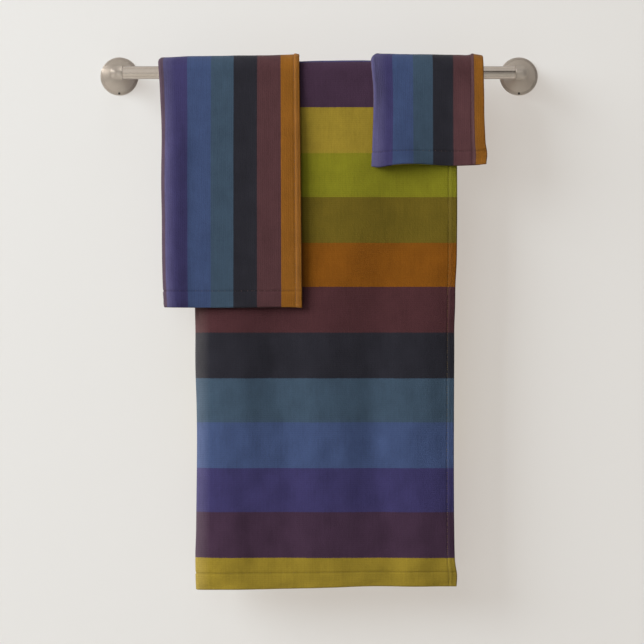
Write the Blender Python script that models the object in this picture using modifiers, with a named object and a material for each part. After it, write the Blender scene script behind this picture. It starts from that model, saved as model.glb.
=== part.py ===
"""Bath towel set: a bath towel, a hand towel and a washcloth on a wall-mounted towel rail.

World frame in metres, +Z up. The wall is the plane y = 0 and the room is on the -Y side. The origin is the
centre of the left wall plate's back face, and the bar runs along +X at the height z = 0.
"""

import math

import bpy
import bmesh

# ---- Clearances -----------------------------------------------------------------------------------------
CLEAR = 0.0003  # between pieces that touch
PLUG_SETBACK = 0.0025  # a wall plug is pushed in past the wall's face

# ---- Rail -----------------------------------------------------------------------------------------------
RAIL_SPAN = 0.600  # between the centres of the two posts
STANDOFF = 0.070  # from the wall to the bar's axis
BAR_RADIUS = 0.0095
BAR_WALL = 0.0012
BAR_ENTRY = 0.0105  # how far the bar reaches into each post's socket

FLANGE_RADIUS = 0.0285
FLANGE_WALL = 0.0069  # between the flange's edge and the hollow behind it
FLANGE_STEP = 0.0012  # each ring of the rim is this much smaller than the last
FLANGE_RING_DEPTH = 0.0018
FLANGE_RINGS = 3
NECK_RADIUS = 0.0086
NECK_BELOW_HEAD = 0.0071  # from the head's shoulder to the post's narrowest part
TRUMPET_POWER = 2.4  # how late the post flares into its flange
SOCKET_WALL = 0.0011
SOCKET_REACH = 0.0092  # from the post's axis to the socket's face
POCKET_SPARE = 0.0008  # between the wall plate's edge and the floor of the hollow that takes it

PLATE_HEIGHT = 0.0060
PLATE_BASE = 0.0025
PLATE_RIM = 0.0020
SCREW_INSET = 0.0035  # between a wall screw's head and the plate's rim
SCREW_RADIUS = 0.0020
SCREW_LENGTH = 0.0370
SCREW_POINT = 0.0040
SCREW_HEAD_RADIUS = 0.0038
SCREW_HEAD_HEIGHT = 0.0022
SCREW_RECESS_DEPTH = 0.0014
SCREW_RECESS_ARM = 0.0022
SCREW_RECESS_WIDTH = 0.0008
PLUG_RADIUS = 0.0035
PLUG_LENGTH = 0.0300
PLUG_COLLAR = 0.0006  # the collar stands this much proud of the plug's body
PLUG_RIBS = 4
GRUB_RADIUS = 0.0016
GRUB_DEPTH = 0.0042  # distance of the grub screw's axis from the wall
GRUB_SETBACK = 0.0012  # below the flange's outer face
GRUB_SOCKET_RADIUS = 0.0009
GRUB_SOCKET_DEPTH = 0.0018

POCKET_RADIUS = FLANGE_RADIUS - FLANGE_WALL
POCKET_DEPTH = PLATE_HEIGHT + POCKET_SPARE
PLATE_RADIUS = POCKET_RADIUS - CLEAR
SCREW_OFFSET = PLATE_RADIUS - PLATE_RIM - SCREW_INSET - SCREW_HEAD_RADIUS
HEAD_RADIUS = BAR_RADIUS + CLEAR + SOCKET_WALL

ROUND_STEPS = 32
SMALL_STEPS = 16

# ---- Towels ---------------------------------------------------------------------------------------------
# Every towel is folded in half along its length, with the fold on the left, and hung over the bar.
BATH_LAYER = 0.0032  # thickness of one layer of cloth
BATH_CUT = (0.762, 1.524)  # width and length of the open towel
BATH_OFFSET = 0.0097  # its middle hangs this far to the right of the rail's
BATH_FRONT_DROP = 0.764
BATH_CREASE = 0.430  # depth of the line where the free lower front lifts from
BATH_HEM = 0.024

SMALL_LAYER = 0.00385  # hand towel and washcloth
SMALL_CROWN = 0.0030  # their stiff folds stand this much higher over the bar
HAND_CUT = (0.406, 0.762)
HAND_FROM_POST = 0.066  # from the left post's axis to its left edge
HAND_FRONT_DROP = 0.347
HAND_HEM = 0.024

WASH_CUT = (0.330, 0.330)
WASH_FROM_POST = 0.0535  # from the right post's axis to its right edge
WASH_FRONT_DROP = 0.139
WASH_HEM = 0.021

FOLD_ROLL = 0.003  # what the lengthwise fold's roll adds to half the width
SWING_ARC = 45.0  # degrees of arch that bend when a front flap swings out
ARCH_SEGMENTS = 24  # over a half turn

BATH_INNER = BAR_RADIUS + CLEAR
BATH_OUTER = BATH_INNER + 2 * BATH_LAYER
SMALL_INNER = BATH_OUTER + CLEAR
SMALL_OUTER = SMALL_INNER + 2 * SMALL_LAYER

# ---- Colours (linear RGB) -------------------------------------------------------------------------------
NICKEL = (0.50, 0.45, 0.38)
ZINC_STEEL = (0.42, 0.43, 0.45)
DARK_STEEL = (0.12, 0.11, 0.10)
NYLON = (0.62, 0.62, 0.58)
TEAL = (0.055, 0.090, 0.115)
INDIGO = (0.060, 0.050, 0.140)
RUST = (0.250, 0.105, 0.020)
GOLD = (0.300, 0.210, 0.030)
PLUM = (0.060, 0.032, 0.060)


def clear_scene():
    for old in list(bpy.data.objects):
        bpy.data.objects.remove(old)


def collection(name):
    made = bpy.data.collections.new(name)
    bpy.context.scene.collection.children.link(made)
    return made


def material(name, colour, roughness, metallic=0.0):
    made = bpy.data.materials.new(name)
    made.use_nodes = True
    shader = made.node_tree.nodes["Principled BSDF"]
    shader.inputs["Base Color"].default_value = (*colour, 1.0)
    shader.inputs["Roughness"].default_value = roughness
    shader.inputs["Metallic"].default_value = metallic
    return made


def empty(name, location, rotation, home):
    made = bpy.data.objects.new(name, None)
    made.location = location
    made.rotation_euler = rotation
    home.objects.link(made)
    return made


def place(name, data, home, parent, location=(0, 0, 0), rotation=(0, 0, 0), finish=None):
    """An object with the given mesh or curve, under its parent."""
    made = bpy.data.objects.new(name, data)
    made.parent = parent
    made.location = location
    made.rotation_euler = rotation
    if finish and not data.materials:
        data.materials.append(finish)
    home.objects.link(made)
    return made


def make_cutter(obj):
    obj.hide_render = True
    obj.display_type = "WIRE"
    return obj


def polyline_mesh(name, points, closed=False):
    """Edges through the (radius, height) points, in the XZ plane."""
    mesh = bpy.data.meshes.new(name)
    count = len(points)
    edges = [(i, i + 1) for i in range(count - 1)]
    if closed:
        edges.append((count - 1, 0))
    mesh.from_pydata([(radius, 0, height) for radius, height in points], edges, [])
    return mesh


def turn(obj, steps):
    """Turns the object's profile about its own Z axis. The profile runs down its outer side."""
    screw = obj.modifiers.new("Turn", "SCREW")
    screw.steps = steps
    screw.render_steps = steps
    screw.use_merge_vertices = True
    screw.merge_threshold = 0.00001
    screw.use_smooth_shade = False


def boolean(obj, other, operation):
    cut = obj.modifiers.new(operation.title(), "BOOLEAN")
    cut.operation = operation
    cut.object = other


def cylinder_mesh(name, radius, depth, steps=ROUND_STEPS):
    """A cylinder along Z, from z = 0 up to its depth."""
    mesh = bpy.data.meshes.new(name)
    work = bmesh.new()
    bmesh.ops.create_cone(work, cap_ends=True, segments=steps, radius1=radius, radius2=radius, depth=depth)
    bmesh.ops.translate(work, verts=work.verts, vec=(0, 0, depth / 2))
    work.to_mesh(mesh)
    work.free()
    return mesh


def box_mesh(name, size):
    """A box on its own centre."""
    mesh = bpy.data.meshes.new(name)
    work = bmesh.new()
    bmesh.ops.create_cube(work, size=1)
    bmesh.ops.scale(work, verts=work.verts, vec=size)
    work.to_mesh(mesh)
    work.free()
    return mesh


def finished_mesh(obj, name):
    """The mesh that the object's modifiers make. The object itself is removed."""
    bpy.context.view_layer.update()
    mesh = bpy.data.meshes.new_from_object(obj.evaluated_get(bpy.context.evaluated_depsgraph_get()))
    mesh.name = name
    bpy.data.objects.remove(obj)
    return mesh


# ---- Rail pieces ----------------------------------------------------------------------------------------
# Each end of the rail has an empty on the wall whose own Z points out of the wall and whose Y points up.


def wall_plate(side, mount, home, cutters, finish):
    """Shallow turned cup, screwed to the wall, that the post's flange slides over."""
    inner = PLATE_RADIUS - PLATE_RIM
    profile = [(0, PLATE_BASE), (inner, PLATE_BASE), (inner, PLATE_HEIGHT)]
    profile += [(PLATE_RADIUS, PLATE_HEIGHT), (PLATE_RADIUS, 0), (0, 0)]
    plate = place(f"wall_plate_{side}", polyline_mesh("wall_plate", profile), home, mount, finish=finish)
    turn(plate, ROUND_STEPS)
    for offset in (SCREW_OFFSET, -SCREW_OFFSET):
        hole = cylinder_mesh("screw_hole", SCREW_RADIUS + CLEAR, 3 * PLATE_BASE, SMALL_STEPS)
        cutter = place(f"hole_{side}", hole, cutters, mount, (0, offset, -PLATE_BASE))
        boolean(plate, make_cutter(cutter), "DIFFERENCE")


def post_profile():
    """Domed head, neck, trumpet, ringed flange and the pocket behind it, as (radius, depth) points."""
    shoulder = STANDOFF - HEAD_RADIUS
    neck = shoulder - NECK_BELOW_HEAD
    points = [(HEAD_RADIUS * math.sin(a), STANDOFF + HEAD_RADIUS * math.cos(a)) for a in quarter_turn(8)]
    points.append((HEAD_RADIUS, shoulder))
    ring_top = FLANGE_RINGS * FLANGE_RING_DEPTH
    ring_radius = FLANGE_RADIUS - FLANGE_RINGS * FLANGE_STEP
    steps = 12
    for i in range(steps + 1):
        share = i / steps
        flare = share**TRUMPET_POWER
        depth = neck + (ring_top - neck) * share
        points.append((NECK_RADIUS + (ring_radius - NECK_RADIUS) * flare, depth))
    for ring in range(FLANGE_RINGS - 1, -1, -1):
        radius = FLANGE_RADIUS - ring * FLANGE_STEP
        top = (ring + 1) * FLANGE_RING_DEPTH
        points += [(radius, top), (radius, top - FLANGE_RING_DEPTH)]
    points += [(POCKET_RADIUS, 0), (POCKET_RADIUS, POCKET_DEPTH), (0, POCKET_DEPTH)]
    return points


def quarter_turn(steps):
    return [math.radians(90 * i / steps) for i in range(steps + 1)]


def post(side, inward, mount, home, cutters, finish):
    """Turned post with a short side socket for the bar. inward is +1 or -1 along X, towards the bar."""
    made = place(f"post_{side}", polyline_mesh("post", post_profile()), home, mount, finish=finish)
    turn(made, ROUND_STEPS)
    towards_bar = (0, inward * math.pi / 2, 0)
    collar_mesh = cylinder_mesh("socket_collar", HEAD_RADIUS - CLEAR / 10, SOCKET_REACH)
    collar = place(f"collar_{side}", collar_mesh, cutters, mount, (0, 0, STANDOFF), towards_bar)
    boolean(made, make_cutter(collar), "UNION")
    floor = inward * (SOCKET_REACH - BAR_ENTRY - CLEAR)
    bore_mesh = cylinder_mesh("socket_bore", BAR_RADIUS + CLEAR, 2 * BAR_ENTRY)
    bore = place(f"bore_{side}", bore_mesh, cutters, mount, (floor, 0, STANDOFF), towards_bar)
    boolean(made, make_cutter(bore), "DIFFERENCE")
    grub_mesh = cylinder_mesh("grub_hole", GRUB_RADIUS + CLEAR, FLANGE_RADIUS, SMALL_STEPS)
    grub_start = (0, -POCKET_RADIUS / 2, GRUB_DEPTH)
    hole = place(f"grub_hole_{side}", grub_mesh, cutters, mount, grub_start, (math.pi / 2, 0, 0))
    boolean(made, make_cutter(hole), "DIFFERENCE")


def grub_screw_mesh(home):
    """Short headless screw with a hexagon socket in its outer end."""
    length = FLANGE_RADIUS - GRUB_SETBACK - POCKET_RADIUS
    work = place("grub_work", cylinder_mesh("grub", GRUB_RADIUS, length, SMALL_STEPS), home, None)
    socket_mesh = cylinder_mesh("grub_socket", GRUB_SOCKET_RADIUS, 2 * GRUB_SOCKET_DEPTH, 6)
    socket = place("grub_socket_work", socket_mesh, home, None, (0, 0, length - GRUB_SOCKET_DEPTH))
    boolean(work, socket, "DIFFERENCE")
    mesh = finished_mesh(work, "grub_screw")
    bpy.data.objects.remove(socket)
    return mesh


def wall_screw_mesh(home):
    """Pan-head screw with a cross recess and a pointed end. z = 0 is the head's seat."""
    head = [(0, SCREW_HEAD_HEIGHT), (0.7 * SCREW_HEAD_RADIUS, SCREW_HEAD_HEIGHT)]
    head += [(SCREW_HEAD_RADIUS, 0.55 * SCREW_HEAD_HEIGHT), (SCREW_HEAD_RADIUS, 0)]
    shank = [(SCREW_RADIUS, 0), (SCREW_RADIUS, SCREW_POINT - SCREW_LENGTH), (0, -SCREW_LENGTH)]
    work = place("screw_work", polyline_mesh("screw", head + shank), home, None)
    turn(work, SMALL_STEPS)
    arms = []
    for turned in (0, math.pi / 2):
        size = (2 * SCREW_RECESS_ARM, SCREW_RECESS_WIDTH, 2 * SCREW_RECESS_DEPTH)
        top = (0, 0, SCREW_HEAD_HEIGHT)
        arm = place("recess_work", box_mesh("recess", size), home, None, top, (0, 0, turned))
        boolean(work, arm, "DIFFERENCE")
        arms.append(arm)
    mesh = finished_mesh(work, "wall_screw")
    for arm in arms:
        bpy.data.objects.remove(arm)
    return mesh


def wall_plug_mesh():
    """Ribbed sleeve that grips the screw inside the wall, as a closed profile to be turned."""
    bore = SCREW_RADIUS + CLEAR
    body = PLUG_RADIUS
    points = [(body + PLUG_COLLAR, 0), (body + PLUG_COLLAR, -2 * PLUG_COLLAR), (body, -3 * PLUG_COLLAR)]
    pitch = (PLUG_LENGTH - 6 * PLUG_COLLAR) / PLUG_RIBS
    for rib in range(PLUG_RIBS):
        start = -3 * PLUG_COLLAR - rib * pitch
        points += [(body - PLUG_COLLAR, start - 0.3 * pitch), (body, start - pitch)]
    points += [(body - PLUG_COLLAR, -PLUG_LENGTH), (bore, -PLUG_LENGTH), (bore, 0)]
    return polyline_mesh("wall_plug", points, closed=True)


def rail_end(side, x, inward, home, cutters, finishes, grub_mesh, screw_mesh, plug_mesh):
    """Everything that holds one end of the bar to the wall."""
    mount = empty(f"mount_{side}", (x, 0, 0), (math.pi / 2, 0, 0), home)
    wall_plate(side, mount, home, cutters, finishes["steel"])
    post(side, inward, mount, home, cutters, finishes["nickel"])
    grub_at = (0, -POCKET_RADIUS, GRUB_DEPTH)
    place(f"grub_screw_{side}", grub_mesh, home, mount, grub_at, (math.pi / 2, 0, 0), finishes["dark"])
    for level, offset in (("upper", SCREW_OFFSET), ("lower", -SCREW_OFFSET)):
        seat = (0, offset, PLATE_BASE + CLEAR)
        place(f"wall_screw_{side}_{level}", screw_mesh, home, mount, seat, finish=finishes["steel"])
        inside = (0, offset, -PLUG_SETBACK)
        plug = place(f"wall_plug_{side}_{level}", plug_mesh, home, mount, inside, finish=finishes["nylon"])
        turn(plug, SMALL_STEPS)


def bar(home, finish):
    """Round tube that reaches into both sockets. It turns about its own axis."""
    reach = SOCKET_REACH - BAR_ENTRY
    length = RAIL_SPAN - 2 * reach
    inner = BAR_RADIUS - BAR_WALL
    profile = [(BAR_RADIUS, length), (BAR_RADIUS, 0), (inner, 0), (inner, length)]
    axis = empty("bar_axis", (reach, -STANDOFF, 0), (0, math.pi / 2, 0), home)
    tube = place("bar", polyline_mesh("bar", profile, closed=True), home, axis, finish=finish)
    turn(tube, ROUND_STEPS)


# ---- Towel pieces ---------------------------------------------------------------------------------------
# Outlines are (towards the wall, up) from a pivot, and each piece is that outline carried along the bar.
ALONG_BAR = (math.pi / 2, 0, math.pi / 2)


def band(name, pivot, outline, left, right, home, finish):
    """Flat outline made into a prism between two places along the bar."""
    curve = bpy.data.curves.new(name, "CURVE")
    curve.dimensions = "2D"
    curve.fill_mode = "BOTH"
    curve.extrude = (right - left) / 2
    spline = curve.splines.new("POLY")
    spline.points.add(len(outline) - 1)
    for point, (across, up) in zip(spline.points, outline):
        point.co = (across, up, 0, 1)
    spline.use_cyclic_u = True
    return place(name, curve, home, pivot, (0, 0, (left + right) / 2), finish=finish)


def arch(inner, outer, crown, start, end):
    """Part of the arch over the bar, from start to end degrees from the front. crown lifts its top."""
    steps = max(2, round(ARCH_SEGMENTS * (end - start) / 180))
    angles = [math.radians(start + (end - start) * i / steps) for i in range(steps + 1)]
    inside = [(-inner * math.cos(a), inner * math.sin(a)) for a in angles]
    outside = [(-outer * math.cos(a), (outer + crown) * math.sin(a)) for a in reversed(angles)]
    return inside + outside


def flap(near, far, top, bottom):
    """Upright slab between two distances from the pivot and two heights."""
    return [(near, bottom), (far, bottom), (far, top), (near, top)]


def folded_width(cut):
    return cut[0] / 2 + FOLD_ROLL


def back_drop(cut, front, inner, outer, crown):
    """What is left of the towel's length behind the bar: the rest lies in front and over the arch."""
    return cut[1] - front - math.pi * (inner + outer + crown) / 2


def flap_with_hem(name, pivot, near, far, top, bottom, hem, extent, home, finishes):
    """A flap and the turned hem along its lower edge."""
    split = bottom + hem
    band(f"{name}_flap", pivot, flap(near, far, top, split + CLEAR / 2), *extent, home, finishes[0])
    band(f"{name}_hem", pivot, flap(near, far, split - CLEAR / 2, bottom), *extent, home, finishes[1])


def bath_towel(home, finishes):
    """Hangs straight over the bar. Its front is split at the crease that the free lower part lifts from."""
    middle = RAIL_SPAN / 2 + BATH_OFFSET
    extent = (middle - folded_width(BATH_CUT) / 2, middle + folded_width(BATH_CUT) / 2)
    hang = empty("bath_towel_hang", (0, -STANDOFF, 0), ALONG_BAR, home)
    lift = empty("bath_towel_crease", (0, -STANDOFF - BATH_OUTER, -BATH_CREASE), ALONG_BAR, home)
    over = arch(BATH_INNER, BATH_OUTER, 0, 0, 180)
    band("bath_arch", hang, over, *extent, home, finishes["teal"])
    back = back_drop(BATH_CUT, BATH_FRONT_DROP, BATH_INNER, BATH_OUTER, 0)
    tones = (finishes["teal"], finishes["plum"])
    flap_with_hem("bath_back", hang, BATH_INNER, BATH_OUTER, -CLEAR, -back, BATH_HEM, extent, home, tones)
    upper = flap(-BATH_OUTER, -BATH_INNER, -CLEAR, -BATH_CREASE + CLEAR / 2)
    band("bath_front_upper_flap", hang, upper, *extent, home, finishes["teal"])
    thick = BATH_OUTER - BATH_INNER
    lower_end = BATH_CREASE - BATH_FRONT_DROP
    tones = (finishes["indigo"], finishes["gold"])
    flap_with_hem("bath_front_lower", lift, 0, thick, -CLEAR / 2, lower_end, BATH_HEM, extent, home, tones)


def small_towel(name, cut, extent, front, hem, home, tones):
    """Hangs over the bath towel and the bar. Its front swings out about the bar, so the arch bends there."""
    hang = empty(f"{name}_hang", (0, -STANDOFF, 0), ALONG_BAR, home)
    swing = empty(f"{name}_front_swing", (0, -STANDOFF, 0), ALONG_BAR, home)
    gap = math.degrees(CLEAR / SMALL_INNER)
    over = arch(SMALL_INNER, SMALL_OUTER, SMALL_CROWN, SWING_ARC + gap, 180)
    band(f"{name}_arch", hang, over, *extent, home, tones[0])
    bend = arch(SMALL_INNER, SMALL_OUTER, SMALL_CROWN, 0, SWING_ARC)
    band(f"{name}_bend", hang, bend, *extent, home, tones[1])
    back = back_drop(cut, front, SMALL_INNER, SMALL_OUTER, SMALL_CROWN)
    near, far = SMALL_INNER, SMALL_OUTER
    flap_with_hem(f"{name}_back", hang, near, far, -CLEAR, -back, hem, extent, home, tones)
    flap_with_hem(f"{name}_front", swing, -far, -near, -CLEAR, -front, hem, extent, home, tones)


def main():
    clear_scene()
    home = collection("bath_towel_set")
    cutters = collection("cutters")
    finishes = {
        "nickel": material("brushed_nickel", NICKEL, 0.32, 1.0),
        "steel": material("zinc_plated_steel", ZINC_STEEL, 0.40, 1.0),
        "dark": material("dark_steel", DARK_STEEL, 0.45, 1.0),
        "nylon": material("grey_nylon", NYLON, 0.55),
        "teal": material("teal_terry", TEAL, 0.95),
        "indigo": material("indigo_terry", INDIGO, 0.95),
        "rust": material("rust_terry", RUST, 0.95),
        "gold": material("gold_terry", GOLD, 0.95),
        "plum": material("plum_terry", PLUM, 0.95),
    }
    shared = (grub_screw_mesh(cutters), wall_screw_mesh(cutters), wall_plug_mesh())
    for side, x, inward in (("left", 0, 1), ("right", RAIL_SPAN, -1)):
        rail_end(side, x, inward, home, cutters, finishes, *shared)
    bar(home, finishes["nickel"])
    bath_towel(home, finishes)
    tones = (finishes["indigo"], finishes["rust"])
    hand_extent = (HAND_FROM_POST, HAND_FROM_POST + folded_width(HAND_CUT))
    small_towel("hand", HAND_CUT, hand_extent, HAND_FRONT_DROP, HAND_HEM, home, tones)
    wash_right = RAIL_SPAN - WASH_FROM_POST
    wash_extent = (wash_right - folded_width(WASH_CUT), wash_right)
    small_towel("washcloth", WASH_CUT, wash_extent, WASH_FRONT_DROP, WASH_HEM, home, tones)


main()
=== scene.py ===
"""Bath towel set: a bath towel, a hand towel and a washcloth, folded lengthwise and hung over a towel rail."""

import bmesh
import bpy
import numpy as np
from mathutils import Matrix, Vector


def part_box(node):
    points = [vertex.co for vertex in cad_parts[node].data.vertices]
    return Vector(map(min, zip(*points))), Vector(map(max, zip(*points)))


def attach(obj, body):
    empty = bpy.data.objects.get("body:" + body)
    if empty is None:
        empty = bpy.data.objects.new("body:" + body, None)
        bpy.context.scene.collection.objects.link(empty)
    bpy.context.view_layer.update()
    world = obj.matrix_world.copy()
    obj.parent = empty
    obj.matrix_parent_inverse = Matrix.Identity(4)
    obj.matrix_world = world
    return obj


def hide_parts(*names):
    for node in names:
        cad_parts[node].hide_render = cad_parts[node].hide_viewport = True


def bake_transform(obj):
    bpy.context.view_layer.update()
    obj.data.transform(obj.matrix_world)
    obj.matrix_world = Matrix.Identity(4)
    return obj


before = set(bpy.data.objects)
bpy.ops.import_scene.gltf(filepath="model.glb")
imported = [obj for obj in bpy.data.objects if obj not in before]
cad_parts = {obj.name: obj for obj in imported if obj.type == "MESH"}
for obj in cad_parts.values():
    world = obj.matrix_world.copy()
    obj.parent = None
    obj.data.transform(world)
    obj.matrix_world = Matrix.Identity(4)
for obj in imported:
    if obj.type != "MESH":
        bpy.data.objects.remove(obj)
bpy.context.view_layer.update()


# ==== Room ===============================================================================================
# A plain plaster wall, a pale floor, one large soft light from the left and an even fill. The wall can be
# looked through from behind, so that the backs of the towels and the fixings show.

bar_low, bar_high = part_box("bar")
BAR_Y = (bar_low[1] + bar_high[1]) / 2
BAR_Z = (bar_low[2] + bar_high[2]) / 2
BAR_RADIUS = (bar_high[2] - bar_low[2]) / 2
BAR_MIDDLE = (bar_low[0] + bar_high[0]) / 2

CAMERA_DISTANCE = 4.5  # from the bar
CAMERA_RIGHT, CAMERA_BELOW = 0.0044, 0.369  # from the bar's middle
FRAME_WIDTH = 0.953  # what the frame spans at the bar
SENSOR = 36.0
camera = bpy.data.objects.new("camera", bpy.data.cameras.new("camera"))
camera.data.sensor_width = SENSOR
camera.data.lens = SENSOR * CAMERA_DISTANCE / FRAME_WIDTH
camera.data.clip_end = 50
camera.location = (BAR_MIDDLE + CAMERA_RIGHT, BAR_Y - CAMERA_DISTANCE, BAR_Z - CAMERA_BELOW)
camera.rotation_euler = (np.pi / 2, 0, 0)
bpy.context.scene.collection.objects.link(camera)
bpy.context.scene.camera = camera
bpy.context.scene.view_settings.view_transform = "Standard"

KEY_FROM, KEY_SIZE, KEY_POWER = (-3.6, -2.6, 1.6), 3.0, 370.0
GLINT_SIZE, GLINT_POWER = 1.0, 60.0  # the part of the key light that the metal mirrors
FRONT_FROM, FRONT_SIZE, FRONT_POWER = (-0.7, -3.3, 0.7), 1.6, 20.0
TOP_FROM, TOP_SIZE, TOP_POWER = (0.2, -1.6, 2.2), 1.2, 9.0
BACK_FROM, BACK_SIZE, BACK_POWER = (0.9, 2.9, 0.5), 2.0, 60.0
# The metal mirrors a brighter room than the one that lights the cloth.
FILL_DIFFUSE, FILL_MIRRORED = 0.15, 0.62
ROOM_BRIGHT, ROOM_DARK = (1.12, 1.10, 1.07, 1), (0.10, 0.09, 0.08, 1)
WARM, NEUTRAL = (1.0, 0.985, 0.96), (1.0, 0.99, 0.97)


def soft_light(name, place, aim, size, power, colour, mirrored=False):
    """A square lamp that faces a point. Only one that is mirrored shows in the metal."""
    lamp = bpy.data.objects.new(name, bpy.data.lights.new(name, "AREA"))
    lamp.data.size = size
    lamp.data.energy = power
    lamp.data.color = colour
    lamp.visible_glossy = mirrored
    lamp.location = place
    lamp.rotation_euler = (Vector(aim) - Vector(place)).to_track_quat("-Z", "Y").to_euler()
    bpy.context.scene.collection.objects.link(lamp)
    return lamp


TOWEL_MIDDLE = (BAR_MIDDLE, BAR_Y, BAR_Z - 0.35)
soft_light("key_light", KEY_FROM, TOWEL_MIDDLE, KEY_SIZE, KEY_POWER, WARM)
glint = soft_light("glint_light", KEY_FROM, TOWEL_MIDDLE, GLINT_SIZE, GLINT_POWER, WARM, True)
glint.visible_diffuse = False
soft_light("front_light", FRONT_FROM, TOWEL_MIDDLE, FRONT_SIZE, FRONT_POWER, WARM)
soft_light("top_light", TOP_FROM, TOWEL_MIDDLE, TOP_SIZE, TOP_POWER, NEUTRAL)
soft_light("back_light", BACK_FROM, TOWEL_MIDDLE, BACK_SIZE, BACK_POWER, NEUTRAL)


def node(tree, kind, settings=None, **inputs):
    """A shader node with its settings, and its inputs set to values or linked to other sockets."""
    made = tree.nodes.new(kind)
    for name, value in (settings or {}).items():
        setattr(made, name, value)
    for name, value in inputs.items():
        key = int(name[1:]) if name[1:].isdigit() else name.replace("_", " ")
        socket = made.inputs[key]
        if isinstance(value, bpy.types.NodeSocket):
            tree.links.new(value, socket)
        else:
            socket.default_value = value
    return made


def maths(tree, operation, *values):
    """The result of a Math node."""
    slots = {f"_{i}": value for i, value in enumerate(values)}
    return node(tree, "ShaderNodeMath", {"operation": operation}, **slots).outputs[0]


def mixed(tree, factor, first, second):
    """A colour that goes from the first to the second while the factor goes from 0 to 1."""
    return node(tree, "ShaderNodeMix", {"data_type": "RGBA"}, Factor=factor, _6=first, _7=second).outputs[2]


def clamped(tree, value):
    """The value, kept between 0 and 1."""
    return node(tree, "ShaderNodeClamp", Value=value).outputs[0]


def light_the_room():
    """Even warm-white surroundings, with a dark stretch at eye level opposite the wall that starts at the
    middle and runs to the right, and less light from the right. With X, Y and Z the way looked in, the
    stretch is exp(-(4 Z - 0.8)^2), times -1.6 Y - 0.45, times 6 X + 0.74. The right's is 0.35 X + 0.12."""
    world = bpy.data.worlds.new("room")
    bpy.context.scene.world = world
    world.use_nodes = True
    tree = world.node_tree
    tree.nodes.clear()
    view = node(tree, "ShaderNodeTexCoord").outputs["Generated"]
    axes = node(tree, "ShaderNodeSeparateXYZ", Vector=view)
    height = maths(tree, "MULTIPLY_ADD", axes.outputs["Z"], 4.0, -0.8)
    level = maths(tree, "EXPONENT", maths(tree, "MULTIPLY", maths(tree, "POWER", height, 2.0), -1.0))
    facing = maths(tree, "SUBTRACT", maths(tree, "MULTIPLY", axes.outputs["Y"], -1.6), 0.45)
    rightwards = clamped(tree, maths(tree, "MULTIPLY_ADD", axes.outputs["X"], 6.0, 0.74))
    dark = maths(tree, "MULTIPLY", maths(tree, "MULTIPLY", level, clamped(tree, facing)), rightwards)
    right = maths(tree, "MULTIPLY_ADD", axes.outputs["X"], 0.35, 0.12)
    colour = mixed(tree, clamped(tree, maths(tree, "ADD", dark, right)), ROOM_BRIGHT, ROOM_DARK)
    glossy = node(tree, "ShaderNodeLightPath").outputs["Is Glossy Ray"]
    strength = maths(tree, "MULTIPLY_ADD", glossy, FILL_MIRRORED - FILL_DIFFUSE, FILL_DIFFUSE)
    back = node(tree, "ShaderNodeBackground", Color=colour, Strength=strength)
    end = node(tree, "ShaderNodeOutputWorld")
    tree.links.new(back.outputs[0], end.inputs["Surface"])


light_the_room()


def material(name, slot_colour, roughness, metallic=0.0):
    """A material with its Principled shader set, and the shader and tree to build on."""
    made = bpy.data.materials.new(name)
    made.use_nodes = True
    tree = made.node_tree
    shader = tree.nodes["Principled BSDF"]
    shader.inputs["Base Color"].default_value = (*slot_colour, 1)
    shader.inputs["Roughness"].default_value = roughness
    shader.inputs["Metallic"].default_value = metallic
    return made, shader, tree


def placed(name, mesh, finish):
    """An object at the origin that shows the mesh in one material."""
    mesh.materials.append(finish)
    made = bpy.data.objects.new(name, mesh)
    bpy.context.scene.collection.objects.link(made)
    return made


def surface(name, points, faces, finish, smooth=True):
    """A mesh object at the origin from point and face arrays. Its faces are turned to point outwards."""
    points = np.asarray(points, float).reshape(-1, 3)
    faces = np.asarray(faces, int)
    corners = points[faces[:, :3]]
    volume = np.einsum("ij,ij->i", corners[:, 0], np.cross(corners[:, 1], corners[:, 2])).sum()
    if faces.shape[1] == 4:
        rest = points[faces[:, [0, 2, 3]]]
        volume += np.einsum("ij,ij->i", rest[:, 0], np.cross(rest[:, 1], rest[:, 2])).sum()
    if volume < 0:
        faces = faces[:, ::-1]
    mesh = bpy.data.meshes.new(name)
    mesh.from_pydata(points.tolist(), [], faces.tolist())
    mesh.polygons.foreach_set("use_smooth", np.full(len(faces), smooth))
    mesh.update()
    return placed(name, mesh, finish)


def plane(name, corners, finish):
    """One flat face of the room."""
    mesh = bpy.data.meshes.new(name)
    mesh.from_pydata(corners, [], [(0, 1, 2, 3)])
    placed(name, mesh, finish)


def only_front(shader, tree):
    """Lets a surface of the room be looked through from behind, and keeps it from casting a shadow."""
    behind = node(tree, "ShaderNodeNewGeometry").outputs["Backfacing"]
    shadow = node(tree, "ShaderNodeLightPath").outputs["Is Shadow Ray"]
    clear = maths(tree, "MAXIMUM", behind, shadow)
    see_through = node(tree, "ShaderNodeBsdfTransparent").outputs[0]
    mix = node(tree, "ShaderNodeMixShader", _0=clear, _1=shader.outputs[0], _2=see_through)
    tree.links.new(mix.outputs[0], tree.nodes["Material Output"].inputs["Surface"])


WALL_COLOUR = (0.238, 0.266, 0.286)
WALL_GLOW, WALL_GLOW_COLOUR = 0.496, (1.0, 0.907, 0.816, 1)
FLOOR_COLOUR = (0.42, 0.415, 0.40)


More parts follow.
